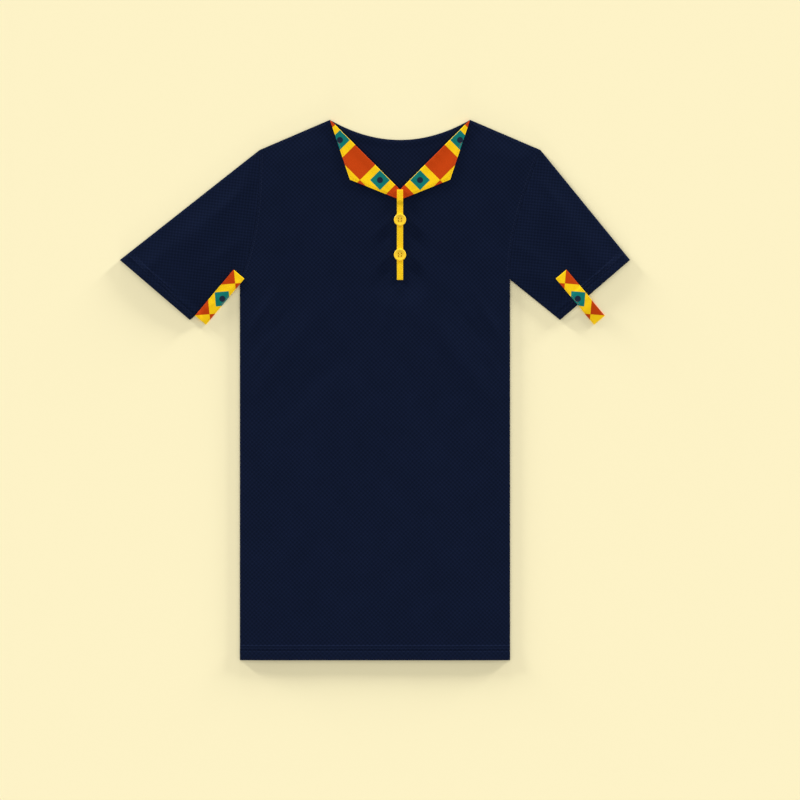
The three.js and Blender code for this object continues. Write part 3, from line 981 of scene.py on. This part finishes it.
def make_tape():
    piece, row, column = flat_grid("placket_tape_yellow", TAPE_ROWS, TAPE_ACROSS)
    x = YOKE_MIDDLE + (column / TAPE_ACROSS - 0.5) * TAPE_WIDTH
    y = V_BOTTOM_Y - TAPE_LENGTH + row / TAPE_ROWS * TAPE_LENGTH
    from_edge = TAPE_WIDTH / 2 - np.abs(x - YOKE_MIDDLE)
    dip = TAPE_GROOVE * groove(from_edge - TAPE_STITCH_INSIDE, TAPE_GROOVE_WIDTH)
    lay_out(piece, x, y, tape_underside(x, y) + TAPE_CLOTH - dip)
    chart(piece, "cloth", x * MM, y * MM)
    close_below(piece, tape_underside, THIN_ROUNDED_EDGE)
    finish_piece(piece, "placket_tape", TAPE)


def make_button(name, drop):
    """A turned four-hole button: a rounded rim round a dished middle."""
    centre = np.array([YOKE_MIDDLE, NECK_Y - drop, TAPE_TOP + SEAM_GAP + BUTTON_THICKNESS / 2])
    disc = {"radius": BUTTON_RADIUS * MM, "depth": BUTTON_THICKNESS * MM}
    bpy.ops.mesh.primitive_cylinder_add(vertices=BUTTON_SIDES, location=centre * MM, **disc)
    button = bpy.context.active_object
    button.name = name + "_cast"
    bpy.ops.object.transform_apply(location=True, rotation=False, scale=False)
    top = (centre[2] + BUTTON_THICKNESS / 2) * MM
    bpy.ops.object.mode_set(mode="EDIT")
    bpy.ops.mesh.select_all(action="DESELECT")
    bpy.ops.object.mode_set(mode="OBJECT")
    for face in button.data.polygons:
        face.select = bool(abs(face.center.z - top) < NEARLY * MM)
    bpy.ops.object.mode_set(mode="EDIT")
    bpy.ops.mesh.select_mode(type="FACE")
    bpy.ops.mesh.inset(thickness=BUTTON_RIM * MM)
    bpy.ops.mesh.inset(thickness=BUTTON_DISH_SLOPE * MM)
    bpy.ops.transform.translate(value=(0, 0, -BUTTON_DISH_DEPTH * MM))
    bpy.ops.object.mode_set(mode="OBJECT")
    sharp = {"limit_method": "ANGLE", "angle_limit": math.radians(BUTTON_EDGE_ANGLE)}
    bevel = {"width": BUTTON_ROUNDING * MM, "segments": BUTTON_ROUNDING_STEPS}
    apply_modifier(button, "BEVEL", **sharp, **bevel)
    bit = {"radius": BUTTON_HOLE_RADIUS * MM, "depth": DRILL_LENGTH * MM}
    for x in BUTTON_HOLES_ACROSS:
        for y in BUTTON_HOLES_ACROSS:
            hole = (centre + (x, y, 0)) * MM
            bpy.ops.mesh.primitive_cylinder_add(vertices=HOLE_SIDES, location=hole, **bit)
            drill = bpy.context.active_object
            apply_modifier(button, "BOOLEAN", object=drill, operation="DIFFERENCE", solver="EXACT")
            bpy.data.objects.remove(drill)
    edit(button, (bpy.ops.mesh.normals_make_consistent, {"inside": False}))
    active_alone(button)
    bpy.ops.object.shade_smooth_by_angle(angle=math.radians(BUTTON_SMOOTH_ANGLE))
    finish_piece(button, name, POLYESTER)
    return centre


# ---- Sleeve strips ----

TAB_ROWS = 60
TAB_ACROSS = 16
TAB_STITCH_POINTS = 30
OUTLINE = [
    hem_corner(-1), underarm(-1), cuff_low(-1), cuff_tip(-1), shoulder(-1),
    shoulder(1), cuff_tip(1), cuff_low(1), underarm(1), hem_corner(1),
]


def on_shirt(x, y):
    inside = np.zeros(np.shape(x), dtype=bool)
    for corner, following in zip(OUTLINE, OUTLINE[1:] + OUTLINE[:1]):
        if corner[1] == following[1]:
            continue
        crosses = (corner[1] > y) != (following[1] > y)
        edge_x = mix(corner[0], following[0], (y - corner[1]) / (following[1] - corner[1]))
        inside ^= crosses & (x < edge_x)
    return inside


def tab_underside(x, y):
    """The height under a strip: on the shirt, or drooping to the table beside it."""
    away = distance_to(x, y, OUTLINE + OUTLINE[:1])
    droop = smooth((away - TAB_DROOP_START) / TAB_DROOP_RUN)
    from_cuff = np.minimum(cuff_distance(-1, x, y), cuff_distance(1, x, y))
    lying = on_cloth(x, y) + hem_rise(CUFF_HEM_DEPTH, from_cuff)
    return np.where(on_shirt(x, y), lying, lying * (1 - droop))


def tab_frame(side):
    turn = math.radians(TAB_TURN)
    down = place(side * math.cos(turn), -math.sin(turn))
    out = place(side * math.sin(turn), math.cos(turn))
    top = place(YOKE_MIDDLE + side * TAB_OUT, NECK_Y - TAB_TOP_DROP)
    return top, down, out


def tab_spots(side, along, inward):
    """Places on a strip, by how far along it and how far in from its outer edge."""
    top, down, out = tab_frame(side)
    return top + down * along[:, None] + out * (TAB_WIDTH / 2 - inward)[:, None]


def make_tab(side):
    piece, row, column = flat_grid("sleeve_strip_%s" % SIDE_NAMES[side], TAB_ROWS, TAB_ACROSS)
    along = TAB_LENGTH * row / TAB_ROWS
    inward = TAB_WIDTH * column / TAB_ACROSS
    x, y = tab_spots(side, along, inward).T
    from_edge = np.minimum(inward, TAB_WIDTH - inward)
    dip = TAB_GROOVE * groove(from_edge - TAB_STITCH_INSIDE, TAB_GROOVE_WIDTH)
    lay_out(piece, x, y, tab_underside(x, y) + TAB_CLOTH - dip)
    chart(piece, "cloth", inward * MM, along * MM)
    chart(piece, "print", (inward - TAB_DOT[0]) / TILE, (along - TAB_DOT[1]) / TILE)
    close_below(piece, tab_underside, THIN_ROUNDED_EDGE)
    finish_piece(piece, "sleeve_tab_%s" % SIDE_NAMES[side], PRINT)


# ---- Sewing ----

STITCH_SIDES = 6
STITCH_RINGS = 5
# Where rows and rolls start and end: shares of a seam, and steps in from a shoulder's two corners
ARMHOLE_ROLL_SHARES = np.linspace(0.004, 0.996, 40)
TOPSTITCH_SHARES = np.linspace(0.03, 0.97, 60)
CUFF_STITCH_SHARES = np.array([0.02, 0.98])
SHOULDER_ROLL_STEPS = ((-1.5, -1), (2, -1.6))
# A side seam's roll starts this far above the hem, and lies this far inside the cloth's edge
SIDE_ROLL_START = 1
SIDE_ROLL_CLEAR = 0.05


def one_stitch():
    """A single stitch, a strand that dips into the cloth at both ends, 1 long and 1 thick."""
    bpy.ops.mesh.primitive_uv_sphere_add(segments=STITCH_SIDES, ring_count=STITCH_RINGS, radius=1)
    strand = bpy.context.active_object
    points = np.zeros(3 * len(strand.data.vertices))
    strand.data.vertices.foreach_get("co", points)
    points = points.reshape(-1, 3)[:, [2, 0, 1]] / 2
    faces = [list(face.vertices) for face in strand.data.polygons]
    bpy.data.objects.remove(strand)
    return points, faces


STITCH = one_stitch()


def walk(line, pitch):
    """Even steps along a line: the middle of each, and its direction."""
    line = np.array(line, dtype=float)
    runs = np.diff(line, axis=0)
    lengths = np.linalg.norm(runs, axis=1)
    count = max(1, int(lengths.sum() / pitch))
    marks = (np.arange(count) + 0.5) * lengths.sum() / count
    starts = np.concatenate([[0], np.cumsum(lengths[:-1])])
    run = np.searchsorted(starts, marks, side="right") - 1
    headings = runs[run] / lengths[run, None]
    return line[run] + headings * (marks - starts[run])[:, None], headings


def sew(name, lines, height, material, thread=THREAD, sink=STITCH_SINK):
    """Rows of stitches along lines on the cloth, as one piece."""
    template, template_faces = STITCH
    template = template * (STITCH_LENGTH, thread, thread)
    points, faces = [], []
    for line in lines:
        spots, headings = walk(line, STITCH_PITCH)
        before, after = spots - headings, spots + headings
        slopes = (height(*after.T) - height(*before.T)) / 2
        heights = height(*spots.T)
        for spot, heading, slope, z in zip(spots, headings, slopes, heights):
            ahead = np.array([heading[0], heading[1], slope])
            aside = np.array([-heading[1], heading[0], 0])
            frame_of_stitch = np.array([ahead, aside, np.cross(ahead, aside)])
            base = len(points) * len(template)
            points.append(np.array([spot[0], spot[1], z - sink]) + template @ frame_of_stitch)
            faces += [[base + i for i in face] for face in template_faces]
    mesh = bpy.data.meshes.new(name)
    mesh.from_pydata((np.concatenate(points) * MM).tolist(), [], faces)
    mesh.shade_smooth()
    piece = bpy.data.objects.new(name, mesh)
    bpy.context.collection.objects.link(piece)
    finish_piece(piece, None, material)


def sew_seam(name, spots, radius):
    """The roll of thread and cloth edge inside a seam, half way up between the two layers."""
    spline_data = bpy.data.curves.new(name, "CURVE")
    spline_data.dimensions = "3D"
    spline_data.bevel_depth = radius * MM
    spline_data.bevel_resolution = 2
    spline_data.use_fill_caps = True
    spline = spline_data.splines.new("POLY")
    spline.points.add(len(spots) - 1)
    for knot, spot in zip(spline.points, spots):
        knot.co = (spot[0] * MM, spot[1] * MM, STACK / 2 * MM, 1)
    piece = bpy.data.objects.new(name, spline_data)
    bpy.context.collection.objects.link(piece)
    active_alone(piece)
    bpy.ops.object.convert(target="MESH")
    bpy.context.active_object.data.shade_smooth()
    finish_piece(bpy.context.active_object, None, NAVY_THREAD)


def sew_seams():
    for side in SIDES:
        name = SIDE_NAMES[side]
        armhole_gap = armhole(side, ARMHOLE_ROLL_SHARES) + (side * ARMHOLE_GAP / 2, 0)
        sew_seam("armhole_seam_%s" % name, armhole_gap, ARMHOLE_ROLL)
        inset = place(-side * (SEAM_ROLL + SIDE_ROLL_CLEAR), 0)
        side_line = [hem_corner(side) + inset + (0, SIDE_ROLL_START), underarm(side) + inset]
        sew_seam("side_seam_%s" % name, side_line, SEAM_ROLL)
        corners = zip((shoulder(side), neck_point(side)), SHOULDER_ROLL_STEPS)
        shoulder_line = [corner + (side * out, up) for corner, (out, up) in corners]
        sew_seam("shoulder_seam_%s" % name, shoulder_line, SEAM_ROLL)


def inset_line(a, b, inward, distance, start, end):
    """The line from a to b moved aside, towards a place, and cut short at both ends."""
    heading = direction(a, b)
    aside = np.array([-heading[1], heading[0]])
    shift = aside * distance * np.sign(aside @ (inward - a))
    return [a + shift + heading * start, b + shift - heading * end]


def sew_topstitching():
    """One row beside each armhole and each shoulder seam, on the front."""
    for side in SIDES:
        beside_armhole = armhole(side, TOPSTITCH_SHARES) - (side * TOPSTITCH_INSIDE, 0)
        seam = neck_point(side), shoulder(side), underarm(side)
        beside_shoulder = inset_line(*seam, TOPSTITCH_INSIDE, TOPSTITCH_END, TOPSTITCH_END)
        lines = [beside_armhole, beside_shoulder]
        sew("topstitching_%s" % SIDE_NAMES[side], lines, upper_cloth, NAVY_THREAD)


def sew_hems():
    end = HEM_STITCH_END
    rows = stitch_rows(HEM_DEPTH)
    lines = [[hem_corner(-1) + (end, row), hem_corner(1) + (-end, row)] for row in rows]
    sew("hem_stitches", lines, front_height, NAVY_THREAD)
    for side in SIDES:
        lines = []
        for row in stitch_rows(CUFF_HEM_DEPTH):
            share = 1 - row / sleeve_length(side)
            lines.append(sleeve_place(side, np.array([share, share]), CUFF_STITCH_SHARES))

        def cuff_height(x, y, side=side):
            return upper_cloth(x, y) + hem_profile(CUFF_HEM_DEPTH, cuff_distance(side, x, y))

        sew("cuff_stitches_%s" % SIDE_NAMES[side], lines, cuff_height, NAVY_THREAD)


def sew_collar():
    for side in SIDES:
        neck, inner_end, leaf_point, outer_end = leaf_edges(side)
        middle = (neck + inner_end + leaf_point + outer_end) / 4
        inside, corner = COLLAR_STITCH_INSIDE, COLLAR_STITCH_CORNER
        upper_run = inset_line(neck, leaf_point, middle, inside, COLLAR_STITCH_START, corner)
        lower_run = inset_line(leaf_point, outer_end, middle, inside, corner, COLLAR_STITCH_END)

        def leaf_height(x, y, fold=(neck, inner_end)):
            return leaf_top(x, y, distance_to(x, y, fold)) - COLLAR_GROOVE + COLLAR_STITCH_RISE

        name = "collar_stitches_%s" % SIDE_NAMES[side]
        sew(name, [upper_run, lower_run], leaf_height, ORANGE_THREAD, FINE_THREAD)


def tape_height(x, y):
    """The height of the tape's stitches, a little below its face."""
    return tape_underside(x, y) + TAPE_CLOTH - TAPE_STITCH_DEPTH


def sew_tape():
    top, bottom = V_BOTTOM_Y - TAPE_STITCH_END, V_BOTTOM_Y - TAPE_LENGTH + TAPE_STITCH_END
    inset = TAPE_WIDTH / 2 - TAPE_STITCH_INSIDE
    right, left = YOKE_MIDDLE - inset, YOKE_MIDDLE + inset
    lines = [[place(x, top), place(x, bottom)] for x in (right, left)]
    lines += [[place(right, y), place(left, y)] for y in (top, bottom)]
    sew("tape_stitches", lines, tape_height, YELLOW_THREAD, FINE_THREAD)


def tab_height(x, y):
    """The height of a strip's stitches, a little below its face."""
    return tab_underside(x, y) + TAB_CLOTH - TAB_STITCH_DEPTH


def sew_tabs():
    along = np.linspace(TAB_STITCH_END, TAB_LENGTH - TAB_STITCH_END, TAB_STITCH_POINTS)
    across = np.array([TAB_STITCH_INSIDE, TAB_WIDTH - TAB_STITCH_INSIDE])
    for side in SIDES:
        lines = [tab_spots(side, along, np.full(along.shape, inward)) for inward in across]
        lines += [tab_spots(side, np.full(2, end), across) for end in (along[0], along[-1])]
        name = "strip_stitches_%s" % SIDE_NAMES[side]
        sew(name, lines, tab_height, ORANGE_THREAD, FINE_THREAD)


def dish_height(x, y):
    """The height of the strands over a button's dished middle."""
    dish = TAPE_TOP + SEAM_GAP + BUTTON_THICKNESS - BUTTON_DISH_DEPTH
    return np.full(np.shape(x), dish + STRAND_RISE)


def sew_buttons(centres):
    """Two strands across each button, from hole to hole."""
    lines = []
    for centre in centres:
        for y in BUTTON_HOLES_ACROSS:
            lines.append([centre[:2] + (-STRAND_REACH, y), centre[:2] + (STRAND_REACH, y)])
    sew("button_threads", lines, dish_height, YELLOW_THREAD, BUTTON_THREAD, sink=0)


# ---- Room, light and camera ----

# The floor in metres across, and just under the shirt
FLOOR_SIZE = 12
FLOOR_DROP = 0.3

VIEW_CENTRE = (YOKE_MIDDLE, -15)
VIEW_WIDTH = 1200
LENS = 100
SENSOR = 36

# The light's shares, of the world and of each lamp, add up to 1 on the floor
WORLD_SHARE = 0.66
# Low soft lamps: the way each comes from, counted from +Y, and its share; all angles in degrees
LAMPS = {"key": (0, 0.03), "key_right": (50, 0.14), "key_left": (-50, 0.14), "fill": (180, 0.03)}
LAMP_HEIGHT = 4.5
LAMP_SPREAD = 8


def make_room():
    bpy.ops.mesh.primitive_plane_add(size=FLOOR_SIZE, location=(0, 0, -FLOOR_DROP * MM))
    floor = bpy.context.active_object
    floor.name = "floor"
    floor.data.materials.append(studio_floor())

    world = bpy.data.worlds.new("studio")
    world.use_nodes = True
    backdrop = world.node_tree.nodes["Background"]
    backdrop.inputs["Color"].default_value = (1, 1, 1, 1)
    backdrop.inputs["Strength"].default_value = WORLD_SHARE
    bpy.context.scene.world = world

    for name, (turn, share) in LAMPS.items():
        light = bpy.data.lights.new(name, "SUN")
        light.energy = share * math.pi / math.sin(math.radians(LAMP_HEIGHT))
        light.angle = math.radians(LAMP_SPREAD)
        holder = bpy.data.objects.new(name, light)
        holder.rotation_euler = (math.radians(LAMP_HEIGHT - 90), 0, -math.radians(turn))
        bpy.context.collection.objects.link(holder)

    camera_data = bpy.data.cameras.new("camera")
    camera_data.lens = LENS
    camera_data.sensor_width = SENSOR
    camera = bpy.data.objects.new("camera", camera_data)
    camera.location = (VIEW_CENTRE[0] * MM, VIEW_CENTRE[1] * MM, VIEW_WIDTH * MM * LENS / SENSOR)
    bpy.context.collection.objects.link(camera)
    bpy.context.scene.camera = camera
    bpy.context.scene.view_settings.view_transform = "Standard"


make_room()
make_back()
make_front()
for side in SIDES:
    make_sleeve(side)
    make_leaf(side)
    make_tab(side)
make_tape()
button_centres = [make_button(name, drop) for name, drop in BUTTON_DROPS.items()]
sew_seams()
sew_topstitching()
sew_hems()
sew_collar()
sew_tape()
sew_tabs()
sew_buttons(button_centres)
